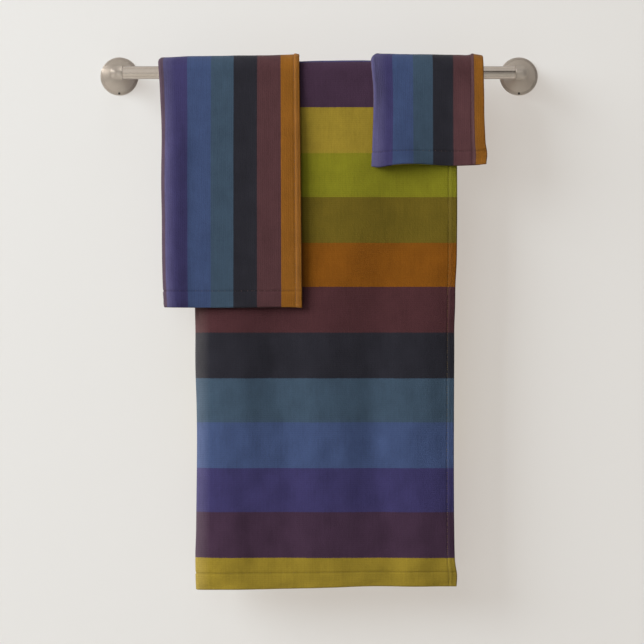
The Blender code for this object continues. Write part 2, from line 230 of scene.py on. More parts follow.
def plaster():
    """Off-white wall paint over faintly uneven plaster, with a little glow of its own that softens shadows."""
    made, shader, tree = material("wall_paint", WALL_COLOUR, 0.9)
    shader.inputs["Emission Color"].default_value = WALL_GLOW_COLOUR
    shader.inputs["Emission Strength"].default_value = WALL_GLOW
    place = node(tree, "ShaderNodeTexCoord").outputs["Object"]
    grain = node(tree, "ShaderNodeTexNoise", Vector=place, Scale=7.0, Detail=4.0)
    bump = node(tree, "ShaderNodeBump", Strength=0.05, Distance=0.004, Height=grain.outputs["Fac"])
    tree.links.new(bump.outputs[0], shader.inputs["Normal"])
    only_front(shader, tree)
    return made


WALL_LEFT, WALL_RIGHT, WALL_TOP = -3.2, 3.2 + 0.6, 1.6
FLOOR_Z = BAR_Z - 1.35
FLOOR_LEFT, FLOOR_RIGHT, FLOOR_NEAR, FLOOR_FAR = -6, 7, -7, 6
wall_corners = [(WALL_LEFT, 0, FLOOR_Z), (WALL_RIGHT, 0, FLOOR_Z)]
wall_corners += [(WALL_RIGHT, 0, WALL_TOP), (WALL_LEFT, 0, WALL_TOP)]
plane("wall", wall_corners, plaster())
floor_corners = [(FLOOR_LEFT, FLOOR_NEAR, FLOOR_Z), (FLOOR_RIGHT, FLOOR_NEAR, FLOOR_Z)]
floor_corners += [(FLOOR_RIGHT, FLOOR_FAR, FLOOR_Z), (FLOOR_LEFT, FLOOR_FAR, FLOOR_Z)]
floor_finish, floor_shader, floor_tree = material("pale_floor", FLOOR_COLOUR, 0.8)
only_front(floor_shader, floor_tree)
plane("floor", floor_corners, floor_finish)


# ==== Bar ================================================================================================
# A drawn brass tube with a brushed nickel finish. Its ends sit in the posts' sockets, where it can turn.

BAR_WALL = 0.0012
BAR_ROUGHNESS, BAR_EDGE_SHADE = 0.20, 1.0
BAR_BRUSHING = (25, 2200, 2200)  # lines per metre on X, Y and Z: it runs along X
ROUND = 96  # steps round what is turned
SHARP = np.radians(32)  # edges that turn more than this show as edges


def fine_grain():
    """Shared effect: hair-fine brushing. It gives a roughness, a height and a faint cloudiness."""
    group = bpy.data.node_groups.new("brushed_grain", "ShaderNodeTree")
    for name, kind in (("Along", "NodeSocketVector"), ("Base Roughness", "NodeSocketFloat")):
        group.interface.new_socket(name, in_out="INPUT", socket_type=kind)
    for name in ("Roughness", "Height", "Cloud"):
        group.interface.new_socket(name, in_out="OUTPUT", socket_type="NodeSocketFloat")
    start = group.nodes.new("NodeGroupInput")
    end = group.nodes.new("NodeGroupOutput")
    lines = node(group, "ShaderNodeTexNoise", Vector=start.outputs["Along"], Scale=1.0, Detail=3.0)
    place = node(group, "ShaderNodeTexCoord").outputs["Object"]
    cloud = node(group, "ShaderNodeTexNoise", Vector=place, Scale=60.0, Detail=2.0)
    uneven = maths(group, "MULTIPLY_ADD", lines.outputs["Fac"], 0.16, -0.08)
    smear = maths(group, "MULTIPLY_ADD", cloud.outputs["Fac"], 0.10, -0.05)
    rough = maths(group, "ADD", maths(group, "ADD", uneven, smear), start.outputs["Base Roughness"])
    group.links.new(rough, end.inputs["Roughness"])
    group.links.new(lines.outputs["Fac"], end.inputs["Height"])
    group.links.new(cloud.outputs["Fac"], end.inputs["Cloud"])
    return group


GRAIN = fine_grain()
NICKEL_LIGHT, NICKEL_DARK = (0.80, 0.715, 0.635), (0.70, 0.62, 0.54)
NICKEL_RELIEF = (0.02, 0.0001)
# Painted shade: the colour that metal darkens to where it turns away from view.
PAINTED_EDGE_SHADE_COLOUR = (0.20, 0.16, 0.12, 1)
EDGE_SHARPNESS = 1.2  # how late the painted edge shade darkens a finish where it turns away


def metal(name, light, dark, roughness, brushing, relief, edge_shade=0.0):
    """Plated metal with a cloudy tone between two colours. Its brushing is in lines per metre on X, Y and Z,
    and its relief is the bump's strength and depth. The edge shade is painted shade: it darkens the colour
    where the surface turns away, in place of darker reflections there."""
    made, shader, tree = material(name, light, roughness, 1.0)
    place = node(tree, "ShaderNodeTexCoord").outputs["Object"]
    along = node(tree, "ShaderNodeMapping", Vector=place, Scale=brushing).outputs[0]
    grain = node(tree, "ShaderNodeGroup", {"node_tree": GRAIN}, Along=along, Base_Roughness=roughness).outputs
    tone = mixed(tree, grain["Cloud"], (*dark, 1), (*light, 1))
    # Painted shade: darkens the colour towards the rim, standing in for darker reflections.
    if edge_shade:
        slant = node(tree, "ShaderNodeLayerWeight", Blend=0.5).outputs["Facing"]
        rim = maths(tree, "MULTIPLY", maths(tree, "POWER", slant, EDGE_SHARPNESS), edge_shade)
        tone = mixed(tree, rim, tone, PAINTED_EDGE_SHADE_COLOUR)
    bump = node(tree, "ShaderNodeBump", Strength=relief[0], Distance=relief[1], Height=grain["Height"])
    tree.links.new(tone, shader.inputs["Base Color"])
    tree.links.new(grain["Roughness"], shader.inputs["Roughness"])
    tree.links.new(bump.outputs[0], shader.inputs["Normal"])
    return made


def nickel(name, roughness, brushing, edge_shade):
    """Satin nickel over brass."""
    return metal(name, NICKEL_LIGHT, NICKEL_DARK, roughness, brushing, NICKEL_RELIEF, edge_shade)


def skin(grid, on_axis):
    """Points and faces of a grid that goes round. Its profile closes on itself, or ends on the axis twice."""
    steps, count = grid.shape[:2]
    i, j = np.meshgrid(np.arange(steps), np.arange(count - on_axis), indexing="ij")
    i, j = i.ravel(), j.ravel()
    after, down = (i + 1) % steps, (j + 1) % count
    faces = np.stack([i * count + j, i * count + down, after * count + down, after * count + j], 1)
    merged = np.arange(steps * count)
    if on_axis:
        merged[0::count] = 0
        merged[count - 1 :: count] = count - 1
    return grid.reshape(-1, 3), merged[faces]


def turned(profile, centre, axis, sideways, steps=ROUND, on_axis=False):
    """Points and faces of a profile of (radius, height) carried round an axis through the centre."""
    profile = np.asarray(profile, float)
    axis, sideways = np.asarray(axis, float), np.asarray(sideways, float)
    angle = np.linspace(0, 2 * np.pi, steps, endpoint=False)[:, None, None]
    ring = np.cos(angle) * sideways + np.sin(angle) * np.cross(axis, sideways)
    grid = np.asarray(centre) + profile[None, :, :1] * ring + profile[None, :, 1:] * axis
    return skin(grid, on_axis)


def solid_turned(profile, centre, axis, sideways, steps=ROUND):
    """As turned, for a profile that starts and ends on the axis."""
    return turned(profile, centre, axis, sideways, steps, True)


def without_slivers(obj):
    """Merges the doubled points that poles leave, which also drops their flat faces."""
    work = bmesh.new()
    work.from_mesh(obj.data)
    bmesh.ops.remove_doubles(work, verts=work.verts, dist=1e-7)
    bmesh.ops.recalc_face_normals(work, faces=work.faces)
    work.to_mesh(obj.data)
    work.free()
    obj.data.set_sharp_from_angle(angle=SHARP)


def rounded_tube(outer, inner, length, ease=0.0004):
    """Closed section of a tube, with its edges eased."""
    bend = np.linspace(0, np.pi / 2, 5)
    top = [(outer - ease + ease * np.sin(a), length - ease + ease * np.cos(a)) for a in bend]
    low = [(outer - ease + ease * np.cos(a), ease - ease * np.sin(a)) for a in bend]
    return [*top, *low, (inner, 0), (inner, length)]


bar_length = bar_high[0] - bar_low[0]
bar_section = rounded_tube(BAR_RADIUS, BAR_RADIUS - BAR_WALL, bar_length)
bar_points, bar_faces = turned(bar_section, (bar_low[0], BAR_Y, BAR_Z), (1, 0, 0), (0, -1, 0))
bar_finish = nickel("brushed_nickel_bar", BAR_ROUGHNESS, BAR_BRUSHING, BAR_EDGE_SHADE)
bar = surface("towel_bar", bar_points, bar_faces, bar_finish)
bar.data.set_sharp_from_angle(angle=np.radians(40))
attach(bar, "bar")
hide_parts("bar")


# ==== Posts ==============================================================================================
# Turned and plated castings: a ringed flange on the wall, a flared neck, a domed head, and a short socket
# on its side for the bar. The flange is hollow behind, over the wall plate.

POCKET_EDGE = 0.0069  # from the flange's edge to the hollow
POCKET_DEPTH = 0.0068
RING_DEPTH, RING_STEP, RINGS = 0.0018, 0.0012, 3
NECK_RADIUS, NECK_BELOW_HEAD, FLARE_POWER = 0.0086, 0.0071, 2.4
SOCKET_REACH, SOCKET_CLEAR, SOCKET_DEPTH = 0.0092, 0.0003, 0.0108
SOCKET_LIP = 0.0005
SOCKET_WALL = 0.0011
BORE_CLEAR = 0.0006
GRUB_HOLE = 0.0019
GRUB_FROM_WALL = 0.0042
POST_ROUGHNESS, POST_EDGE_SHADE = 0.42, 0.7
POST_BRUSHING = (900, 160, 900)


def post_section(flange, standoff, head):
    """Half outline of a post as (radius, distance from the wall), from the dome to the hollow's floor."""
    dome = np.linspace(0, np.pi / 2, 24)
    points = [(head * np.sin(a), standoff + head * np.cos(a)) for a in dome]
    shoulder = standoff - head
    neck = shoulder - NECK_BELOW_HEAD
    waist = np.linspace(0, 1, 9)[1:]
    blend = waist * waist * (3 - 2 * waist)
    points += list(zip(head + (NECK_RADIUS - head) * blend, shoulder + (neck - shoulder) * waist))
    top = RINGS * RING_DEPTH
    inner_ring = flange - RINGS * RING_STEP
    share = np.linspace(0, 1, 40)[1:]
    flare = NECK_RADIUS + (inner_ring - NECK_RADIUS) * share**FLARE_POWER
    points += list(zip(flare, neck + (top - neck) * share))
    for ring in range(RINGS - 1, -1, -1):
        radius, height = flange - ring * RING_STEP, (ring + 1) * RING_DEPTH
        roll = np.linspace(0, np.pi / 2, 6)
        soft = 0.55 * RING_STEP
        points += [(radius - soft + soft * np.sin(a), height - soft + soft * np.cos(a)) for a in roll]
        above_next = 0.0001 if ring else 0
        points.append((radius, height - RING_DEPTH + above_next))
    hollow = flange - POCKET_EDGE
    points += [(hollow, 0), (hollow, POCKET_DEPTH), (0, POCKET_DEPTH)]
    return points


def joined(base, other, operation):
    """The base object with another joined to it or cut from it. The other is removed."""
    change = base.modifiers.new("join", "BOOLEAN")
    change.operation = operation
    change.object = other
    bpy.context.view_layer.update()
    evaluated = base.evaluated_get(bpy.context.evaluated_depsgraph_get())
    result = bpy.data.meshes.new_from_object(evaluated)
    base.modifiers.clear()
    base.data = result
    bpy.data.objects.remove(other)


def tool(profile, centre, axis, sideways, steps=ROUND):
    """A solid turned from the profile, to join to a piece or to cut from it."""
    points, faces = solid_turned(profile, centre, axis, sideways, steps)
    made = surface("tool", points, faces, post_finish)
    without_slivers(made)
    return made


def rod(radius, start, end):
    """Profile of a plain cylinder between two heights."""
    return [(0, end), (radius, end), (radius, start), (0, start)]


def fixed(piece, cad_name):
    """Sets the sharp edges of a piece that never moves, joins it to the rail's body, and hides the CAD part it
    stands for.
    """
    piece.data.set_sharp_from_angle(angle=SHARP)
    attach(piece, "rail")
    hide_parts(cad_name)


post_finish = nickel("brushed_nickel_post", POST_ROUGHNESS, POST_BRUSHING, POST_EDGE_SHADE)
lathe_marks = node(post_finish.node_tree, "ShaderNodeTangent", {"direction_type": "RADIAL", "axis": "Y"})
post_shader = post_finish.node_tree.nodes["Principled BSDF"]
post_shader.inputs["Anisotropic"].default_value = 0.9
post_shader.inputs["Anisotropic Rotation"].default_value = 0.25
post_finish.node_tree.links.new(lathe_marks.outputs[0], post_shader.inputs["Tangent"])
HEAD_RADIUS = BAR_RADIUS + SOCKET_CLEAR + SOCKET_WALL
SOCKET_RADIUS = HEAD_RADIUS - 0.00004
for side, inward in (("left", 1), ("right", -1)):
    low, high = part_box(f"post_{side}")
    post_z = (low[2] + high[2]) / 2
    flange_radius = (high[2] - low[2]) / 2
    wall_x = low[0] + flange_radius
    outline = post_section(flange_radius, high[1] - BAR_Y, HEAD_RADIUS)
    points, faces = solid_turned(outline, (wall_x, high[1], post_z), (0, -1, 0), (1, 0, 0))
    post = surface(f"rail_post_{side}", points, faces, post_finish)
    without_slivers(post)
    across = (inward, 0, 0)
    bar_end = (wall_x, BAR_Y, BAR_Z)
    lip = [(0, SOCKET_REACH), (HEAD_RADIUS - SOCKET_LIP, SOCKET_REACH)]
    lip += [(SOCKET_RADIUS, SOCKET_REACH - SOCKET_LIP), (SOCKET_RADIUS, 0), (0, 0)]
    joined(post, tool(lip, bar_end, across, (0, 0, 1)), "UNION")
    bore = rod(BAR_RADIUS + BORE_CLEAR, SOCKET_REACH - SOCKET_DEPTH, 2 * HEAD_RADIUS)
    joined(post, tool(bore, bar_end, across, (0, 0, 1)), "DIFFERENCE")
    grub_seat = (wall_x, high[1] - GRUB_FROM_WALL, post_z)
    hole = rod(GRUB_HOLE, flange_radius / 2, 1.3 * flange_radius)
    joined(post, tool(hole, grub_seat, (0, 0, -1), (1, 0, 0), 32), "DIFFERENCE")
    fixed(post, f"post_{side}")


# ==== Grub screws ========================================================================================
# Short blackened set screws with a hexagon socket, one under each flange, that bite on the wall plate.

STEEL_SCRATCHES, STEEL_RELIEF = (1500, 1500, 400), (0.15, 0.0002)
BLACK_LIGHT, BLACK_DARK = (0.16, 0.15, 0.14), (0.07, 0.065, 0.06)
black_steel = metal("blackened_steel", BLACK_LIGHT, BLACK_DARK, 0.42, STEEL_SCRATCHES, STEEL_RELIEF)
GRUB_SOCKET, GRUB_SOCKET_DEPTH, GRUB_BEVEL = 0.0009, 0.0018, 0.0003
for side in ("left", "right"):
    low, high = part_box(f"grub_screw_{side}")
    radius, length = (high[0] - low[0]) / 2, high[2] - low[2]
    head = ((low[0] + high[0]) / 2, (low[1] + high[1]) / 2, low[2])
    section = [(0, 0), (radius - GRUB_BEVEL, 0), (radius, -GRUB_BEVEL)]
    section += [(radius, -length + 2 * GRUB_BEVEL), (radius / 2, -length), (0, -length)]
    points, faces = solid_turned(section, head, (0, 0, -1), (1, 0, 0), 32)
    grub = surface(f"set_screw_{side}", points, faces, black_steel)
    without_slivers(grub)
    socket = tool(rod(GRUB_SOCKET, -GRUB_SOCKET_DEPTH, GRUB_SOCKET_DEPTH), head, (0, 0, -1), (1, 0, 0), 6)
    joined(grub, socket, "DIFFERENCE")
    fixed(grub, f"grub_screw_{side}")


# ==== Wall plates, screws and plugs ======================================================================
# Each post grips a turned zinc-plated cup, which two cross-head screws hold to ribbed nylon plugs in the wall.
# The screws' threads wind down their shanks, and the plugs' collars lie just under the wall's face.

ZINC_LIGHT, ZINC_DARK = (0.62, 0.63, 0.66), (0.50, 0.50, 0.50)
zinc = metal("zinc_plating", ZINC_LIGHT, ZINC_DARK, 0.36, STEEL_SCRATCHES, STEEL_RELIEF)
PLATE_BASE, PLATE_RIM, PLATE_EASE, PLATE_CORNER = 0.0025, 0.0020, 0.0003, 0.0008
SCREW_SHANK, SHANK_CLEAR = 0.0020, 0.0003
for side in ("left", "right"):
    low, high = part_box(f"wall_plate_{side}")
    edge = (high[0] - low[0]) / 2
    tall = high[1] - low[1]
    centre = ((low[0] + high[0]) / 2, high[1], (low[2] + high[2]) / 2)
    inner = edge - PLATE_RIM
    section = [(0, PLATE_BASE), (inner - PLATE_CORNER, PLATE_BASE), (inner, PLATE_BASE + PLATE_CORNER)]
    section += [(inner, tall - PLATE_EASE), (inner + PLATE_EASE, tall), (edge - PLATE_EASE, tall)]
    section += [(edge, tall - PLATE_EASE), (edge, PLATE_EASE), (edge - PLATE_EASE, 0), (0, 0)]
    points, faces = solid_turned(section, centre, (0, -1, 0), (1, 0, 0), 72)
    plate = surface(f"wall_cup_{side}", points, faces, zinc)
    without_slivers(plate)
    for level in ("upper", "lower"):
        screw_low, screw_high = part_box(f"wall_screw_{side}_{level}")
        hole_at = (centre[0], high[1], (screw_low[2] + screw_high[2]) / 2)
        hole = rod(SCREW_SHANK + SHANK_CLEAR, -PLATE_BASE, 2 * PLATE_BASE)
        joined(plate, tool(hole, hole_at, (0, -1, 0), (1, 0, 0), 32), "DIFFERENCE")
    fixed(plate, f"wall_plate_{side}")

SCREW_HEAD, SCREW_POINT = 0.0022, 0.0040
THREAD_PITCH, THREAD_HEIGHT = 0.0018, 0.0006
RECESS_ARM, RECESS_HALF, RECESS_DEPTH = 0.0021, 0.0004, 0.0013
BOX_SIDES = [(0, 1, 2, 3), (7, 6, 5, 4), (0, 4, 5, 1), (1, 5, 6, 2), (2, 6, 7, 3), (3, 7, 4, 0)]


def threaded_shank(section, centre, shank_end, steps=24, rows=170):
    """A screw from its head down: the section, then a shank whose radius swells in a ridge that climbs one
    pitch in each turn, and which narrows to a point at the shank's end."""
    angle = np.linspace(0, 2 * np.pi, steps, endpoint=False)[:, None]
    depth = np.linspace(section[-1][1], shank_end, rows)[None, :]
    phase = np.mod(depth / THREAD_PITCH + angle / (2 * np.pi), 1)
    ridge = np.clip(1 - np.abs(phase - 0.5) / 0.28, 0, 1)
    fade = np.clip((depth - section[-1][1]) / (2 * THREAD_PITCH), 0, 1)
    taper = np.clip((shank_end - depth) / SCREW_POINT, 0, 1)
    width = (SCREW_SHANK - THREAD_HEIGHT * fade * (1 - ridge)) * taper
    head = np.asarray(section)
    width = np.concatenate([np.broadcast_to(head[:, 0], (steps, len(head))), width[:, 1:]], 1)
    depth = np.broadcast_to(np.concatenate([head[:, 1], depth[0, 1:]]), width.shape)
    points = np.stack([width * np.cos(angle), depth, width * np.sin(angle)], -1) + np.asarray(centre)
    return skin(points, True)


for side in ("left", "right"):
    for level in ("upper", "lower"):
        low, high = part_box(f"wall_screw_{side}_{level}")
        top = ((low[0] + high[0]) / 2, low[1], (low[2] + high[2]) / 2)
        head = (high[0] - low[0]) / 2
        dome = np.linspace(0, np.pi / 2, 9)
        section = [(0.92 * head * np.sin(a), 0.6 * SCREW_HEAD * (1 - np.cos(a))) for a in dome]
        section += [(head, 0.75 * SCREW_HEAD), (head, SCREW_HEAD), (SCREW_SHANK, SCREW_HEAD)]
        section += [(SCREW_SHANK, 2 * SCREW_HEAD)]
        screw = surface(f"screw_{side}_{level}", *threaded_shank(section, top, high[1] - low[1]), zinc)
        without_slivers(screw)
        for arm, wide in ((RECESS_ARM, RECESS_HALF), (RECESS_HALF, RECESS_ARM)):
            square = ((-1, -1), (1, -1), (1, 1), (-1, 1))
            corners = [(x * arm, y, z * wide) for y in (-RECESS_DEPTH, RECESS_DEPTH) for x, z in square]
            cutter = surface("tool", np.asarray(corners) + np.asarray(top), BOX_SIDES, zinc, smooth=False)
            joined(screw, cutter, "DIFFERENCE")
        fixed(screw, f"wall_screw_{side}_{level}")


def moulded_nylon():
    """Grey nylon with a fine moulded grain."""
    made, shader, tree = material("grey_nylon", (0.60, 0.60, 0.56), 0.5)
    place = node(tree, "ShaderNodeTexCoord").outputs["Object"]
    grain = node(tree, "ShaderNodeTexNoise", Vector=place, Scale=1400.0, Detail=2.0)
    bump = node(tree, "ShaderNodeBump", Strength=0.2, Distance=0.0002, Height=grain.outputs["Fac"])
    tree.links.new(bump.outputs[0], shader.inputs["Normal"])
    return made


nylon = moulded_nylon()
PLUG_COLLAR, PLUG_RIBS, PLUG_EASE = 0.0006, 9, 0.0002
for side in ("left", "right"):
    for level in ("upper", "lower"):
        low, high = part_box(f"wall_plug_{side}_{level}")
        mouth = ((low[0] + high[0]) / 2, low[1], (low[2] + high[2]) / 2)
        outer, long = (high[0] - low[0]) / 2, high[1] - low[1]
        bore = SCREW_SHANK + SHANK_CLEAR
        body = outer - PLUG_COLLAR
        section = [(bore, 0), (outer - PLUG_EASE, 0), (outer, PLUG_EASE), (outer, 2 * PLUG_COLLAR)]
        share = np.linspace(0, 1, 8 * PLUG_RIBS + 1)
        tooth = np.mod(share * PLUG_RIBS, 1)
        depth = 3 * PLUG_COLLAR + (long - 3 * PLUG_COLLAR) * share
        section += list(zip(body - PLUG_COLLAR * (1 - tooth) ** 0.7 * (share > 0), depth))
        section += [(bore, long)]
        points, faces = turned(section, mouth, (0, 1, 0), (1, 0, 0), 48)
        plug = surface(f"plug_{side}_{level}", points, faces, nylon)
        without_slivers(plug)
        fixed(plug, f"wall_plug_{side}_{level}")


# ==== Bath towel =========================================================================================
# Thick striped cotton terry, folded once lengthwise with the fold on the left, and hung over the bar.
# Its stripes run across it in a round of ten colours. Hems are turned in and stitched on all four sides.

CLOTH_HALF = 0.0014  # half the thickness of one layer
LAYER_CLEAR = 0.0002
INNER_SHORT = 0.008  # how much narrower the inner layer is
HEM_FULLER, STITCH_PINCH = 0.30, 0.60
ROLL_SPREAD = 0.010  # how far the fold's roll takes to settle
PUCKER_LENGTH, PUCKER_SIZE = 0.0085, 0.14
CURL_SIZE, CURL_LENGTH, CURL_REACH = 0.0016, 0.019, 0.012  # of the front hem's edge
RISE_REACH = 0.046  # how far up the front follows the rise of its hem
BACK_LEVEL = -0.02  # the height whose wander the back keeps
LOOSE_FROM, LOOSE_OVER = 0.02, 0.10  # below the bar, where the layers part and the fold grows rounder
FREE_OVER = 0.08
RIDGE_PLACE, RIDGE_WIDTH = 0.0030, 0.0022  # of the fuller pile, measured from the side hem's stitches
SIDE_STEP, END_STEP = 0.0012, 0.0016  # how sharply the hems step down
SIDE_PINCH, SIDE_PINCH_WIDTH, END_PINCH_WIDTH = 0.55, 0.0010, 0.0013
SIDE_PUCKER_REACH, END_PUCKER_REACH = 0.004, 0.006
EDGE_REACH = 0.022  # how far from an edge the cloth follows its wander


def ease(share):
    """0 below 0, 1 above 1, and the cubic 3s^2 - 2s^3 between."""
    share = np.clip(share, 0, 1)
    return share * share * (3 - 2 * share)


def smooth_line(at, places, values):
    """The value at each place, on cubics through the given points with the slopes of their neighbours."""
    places, values = np.asarray(places, float), np.asarray(values, float)
    if places[0] > places[-1]:
        places, values = places[::-1], values[::-1]
    slope = np.gradient(values, places)
    at = np.clip(at, places[0], places[-1])
    i = np.clip(np.searchsorted(places, at, side="right") - 1, 0, len(places) - 2)
    span = places[i + 1] - places[i]
    t = (at - places[i]) / span
    value = (1 + 2 * t) * (1 - t) ** 2 * values[i] + t * t * (3 - 2 * t) * values[i + 1]
    return value + t * (1 - t) ** 2 * span * slope[i] - t * t * (1 - t) * span * slope[i + 1]


def curve(places, millimetres, start=0.0):
    """Points for smooth_line: places measured from a start, and a value in millimetres at each."""
    return start + np.array(places), 0.001 * np.array(millimetres)


def stations(*marks):
    """Places from each mark to the next, spread evenly at about the spacing given with the mark."""
    places = [marks[0][0]]
    for (start, step), following in zip(marks, marks[1:]):
        places.extend(np.linspace(start, following[0], max(1, round((following[0] - start) / step)) + 1)[1:])
    return np.array(places)


def creases(x, z, seed, size, count=14):
    """Low wrinkles: a sum of sines of random direction, length and phase, each size / sqrt(count) high."""
    draw = np.random.default_rng(seed)
    turn = draw.normal(0, 0.5, count)
    length = draw.uniform(0.022, 0.11, count)
    phase = draw.uniform(0, 2 * np.pi, count)
    total = 0
    for a, b, c in zip(turn, length, phase):
        total = total + np.sin(2 * np.pi * (x * np.cos(a) + z * np.sin(a)) / b + c)
    return total * size / np.sqrt(count)


class Hung:
    """A towel folded lengthwise and hung over the bar. Places on it are given by across, the distance from the
    fold, which is negative on the inner layer, and along, the distance from the front hem.

    width and length are the flat towel's. drop is how far the front hangs, radius is the outer layer's round
    the bar, and low and high are its sides on X. left and right say how far these wander with height, and
    bottom and crown how far the front hem and the top rise with X. roll and roll_low are the fold's radius at
    the bar and lower down, and inward is the share of it that goes towards the bar. hem and side_hem are the
    hems' widths. sway gives how far the front and the back stand out. free is the creases' height at the bar,
    lower down, and the depth between. taken_up shortens the back, and back_inset narrows it. ridge is how
    much fuller the pile is beside the side hem, and puff how far the layers stand apart away from the fold."""

    def __init__(self, **settings):
        vars(self).update(settings)
        self.outer = self.width / 2 + INNER_SHORT / 2
        self.inner = self.width / 2 - INNER_SHORT / 2

    def centre(self, across, along):
        """The middle of the cloth's thickness. Across, it turns on a circle of the roll's radius for a quarter
        turn, then runs flat while the two layers close up exponentially. Along, it hangs straight, turns half
        round the bar at its layer's radius, and hangs straight again. The wander of the sides, the puff
        between the layers, the rise of hem and top, the sway, a curl at the hem and creases come on top."""
        apart = CLOTH_HALF + LAYER_CLEAR
        layer = np.sign(across)
        away = np.abs(across)
        path = along - self.drop
        front = path < 0
        half_turn = np.pi * self.radius
        turn = np.clip(path / self.radius, 0, np.pi)
        hang = np.maximum(path - half_turn, 0) * (1 - self.taken_up / (self.length - self.drop - half_turn))
        height = np.where(front, path, np.where(hang > 0, -hang, self.radius * np.sin(turn)))
        level = np.where(path > half_turn / 2, np.maximum(height, BACK_LEVEL), height)
        inset = self.back_inset * ease((path / half_turn - 0.5) / 0.9)
        left = self.low + CLOTH_HALF
        right = self.high
        left_shift = smooth_line(level, *self.left) + inset
        right_shift = smooth_line(level, *self.right) - inset
        loosened = ease((-height - LOOSE_FROM) / LOOSE_OVER)
        roll = self.roll + (self.roll_low - self.roll) * loosened
        quarter = roll * np.pi / 2
        phi = np.minimum(away / roll, np.pi / 2)
        flat = np.maximum(away - quarter, 0)
        stretch = (right - left - roll) / (self.outer - quarter)
        x = left + roll * (1 - np.cos(phi)) + flat * stretch
        x = x + left_shift * np.exp(-flat / EDGE_REACH)
        x = x + right_shift * np.exp(-np.maximum(self.outer - away, 0) / EDGE_REACH)
        puffed = smooth_line(flat, *self.puff) * loosened
        gap = np.where(away < quarter, roll, apart + puffed + (roll - apart) * np.exp(-flat / ROLL_SPREAD))
        layer_out = np.where(away < quarter, roll * np.sin(phi), gap)
        middle = self.radius - apart - (gap - apart) * (2 * self.inward - 1)
        radius = middle + layer * layer_out
        fall = np.where(front, path, 0)
        fall = fall - smooth_line(x, *self.bottom) * ease((RISE_REACH - along) / RISE_REACH)
        swing = self.sway(x, fall, hang)
        curl = CURL_SIZE * ease((CURL_REACH - along) / CURL_REACH) * np.sin(x / CURL_LENGTH + self.seed)
        radius = radius + np.where(hang > 0, swing[1], np.where(front, swing[0] + curl, 0))
        free = self.free[0] + (self.free[1] - self.free[0]) * ease((-height - self.free[2]) / FREE_OVER)
        radius = radius + creases(x, along, self.seed, 1.0) * free
        y = BAR_Y - radius * np.cos(turn)
        lift = smooth_line(x, *self.crown) * np.sin(turn) ** 2
        z = BAR_Z + radius * np.sin(turn) + lift + fall - hang
        return np.stack([x, y, z], -1)

    def edges(self, across, along):
        """How far a place is from the nearer side and from the nearer end."""
        side = np.minimum(self.outer - across, across + self.inner)
        return side, np.minimum(along, self.length - along)

    def half(self, across, along):
        """Half the thickness: even, fuller in the hems and beside the side hem, drawn in at the stitches,
        puckered, and round at the rims."""
        side, end = self.edges(across, along)
        past_side, past_end = side - self.side_hem, end - self.hem
        in_hem = np.maximum(ease(-past_side / SIDE_STEP), ease(-past_end / END_STEP))
        drawn = SIDE_PINCH * np.exp(-((past_side / SIDE_PINCH_WIDTH) ** 2))
        drawn = drawn + np.exp(-((past_end / END_PINCH_WIDTH) ** 2))
        ridge = self.ridge * np.exp(-(((past_side + RIDGE_PLACE) / RIDGE_WIDTH) ** 2))
        beside = np.sin(2 * np.pi * along / PUCKER_LENGTH)
        above = np.sin(2 * np.pi * across / PUCKER_LENGTH + 3 * along)
        pucker = np.exp(-np.abs(past_side) / SIDE_PUCKER_REACH) * beside
        pucker = pucker + np.exp(-np.abs(past_end) / END_PUCKER_REACH) * above
        change = HEM_FULLER * in_hem + ridge - STITCH_PINCH * np.clip(drawn, 0, 1) + PUCKER_SIZE * pucker
        full = CLOTH_HALF * (1 + change)
        rim = np.clip(np.minimum(side, end) / full, 0, 1)
        return full * np.sqrt(1 - (1 - rim) ** 2)

    def outward(self, across, along):
        """The unit vector square to the cloth, away from the bar on the outer layer, by small differences."""
        near = 0.0004
        across = np.clip(across, -self.inner + near, self.outer - near)
        along = np.clip(along, near, self.length - near)
        sideways = self.centre(across + near, along) - self.centre(across - near, along)
        upward = self.centre(across, along + near) - self.centre(across, along - near)
        square = np.cross(sideways, upward)
        return square / np.linalg.norm(square, axis=-1, keepdims=True)


def cloth(name, towel, across, along, finish):
    """A closed mesh from the two skins of a towel over a grid of places, joined round the grid's border."""
    grid_across, grid_along = np.meshgrid(across, along, indexing="ij")
    middle = towel.centre(grid_across, grid_along)
    square = towel.outward(grid_across, grid_along)
    half = towel.half(grid_across, grid_along)[..., None]
    wide, tall = grid_across.shape
    skins = [(middle + half * square).reshape(-1, 3), (middle - half * square).reshape(-1, 3)]
    points = np.concatenate(skins)
    index = np.arange(wide * tall).reshape(wide, tall)
    near = np.stack([index[:-1, :-1], index[1:, :-1], index[1:, 1:], index[:-1, 1:]], -1).reshape(-1, 4)
    far = near[:, ::-1] + wide * tall
    ring = np.concatenate([index[:-1, 0], index[-1, :-1], index[:0:-1, -1], index[0, :0:-1]])
    after = np.roll(ring, -1)
    border = np.stack([after, ring, ring + wide * tall, after + wide * tall], 1)
    faces = np.concatenate([near, far, border])
    mesh = bpy.data.meshes.new(name)
    mesh.from_pydata(points.tolist(), [], faces.tolist())
    spread = np.stack([grid_across.ravel(), grid_along.ravel()], 1)
    spread = np.concatenate([spread, spread])
    uv = mesh.uv_layers.new(name="cloth")
    uv.data.foreach_set("uv", spread[faces.ravel()].ravel())
    inside = mesh.attributes.new("reverse", "FLOAT", "POINT")
    inside.data.foreach_set("value", np.repeat([0.0, 1.0], wide * tall))
    mesh.polygons.foreach_set("use_smooth", np.ones(len(faces), bool))
    work = bmesh.new()
    work.from_mesh(mesh)
    bmesh.ops.remove_doubles(work, verts=work.verts, dist=1e-6)
    if work.calc_volume(signed=True) < 0:
        bmesh.ops.reverse_faces(work, faces=work.faces)
    work.to_mesh(mesh)
    work.free()
    return placed(name, mesh, finish)


STITCH_THICK, STITCH_LONG, STITCH_PITCH, STITCH_SIDES = 0.00028, 0.0020, 0.0031, 6


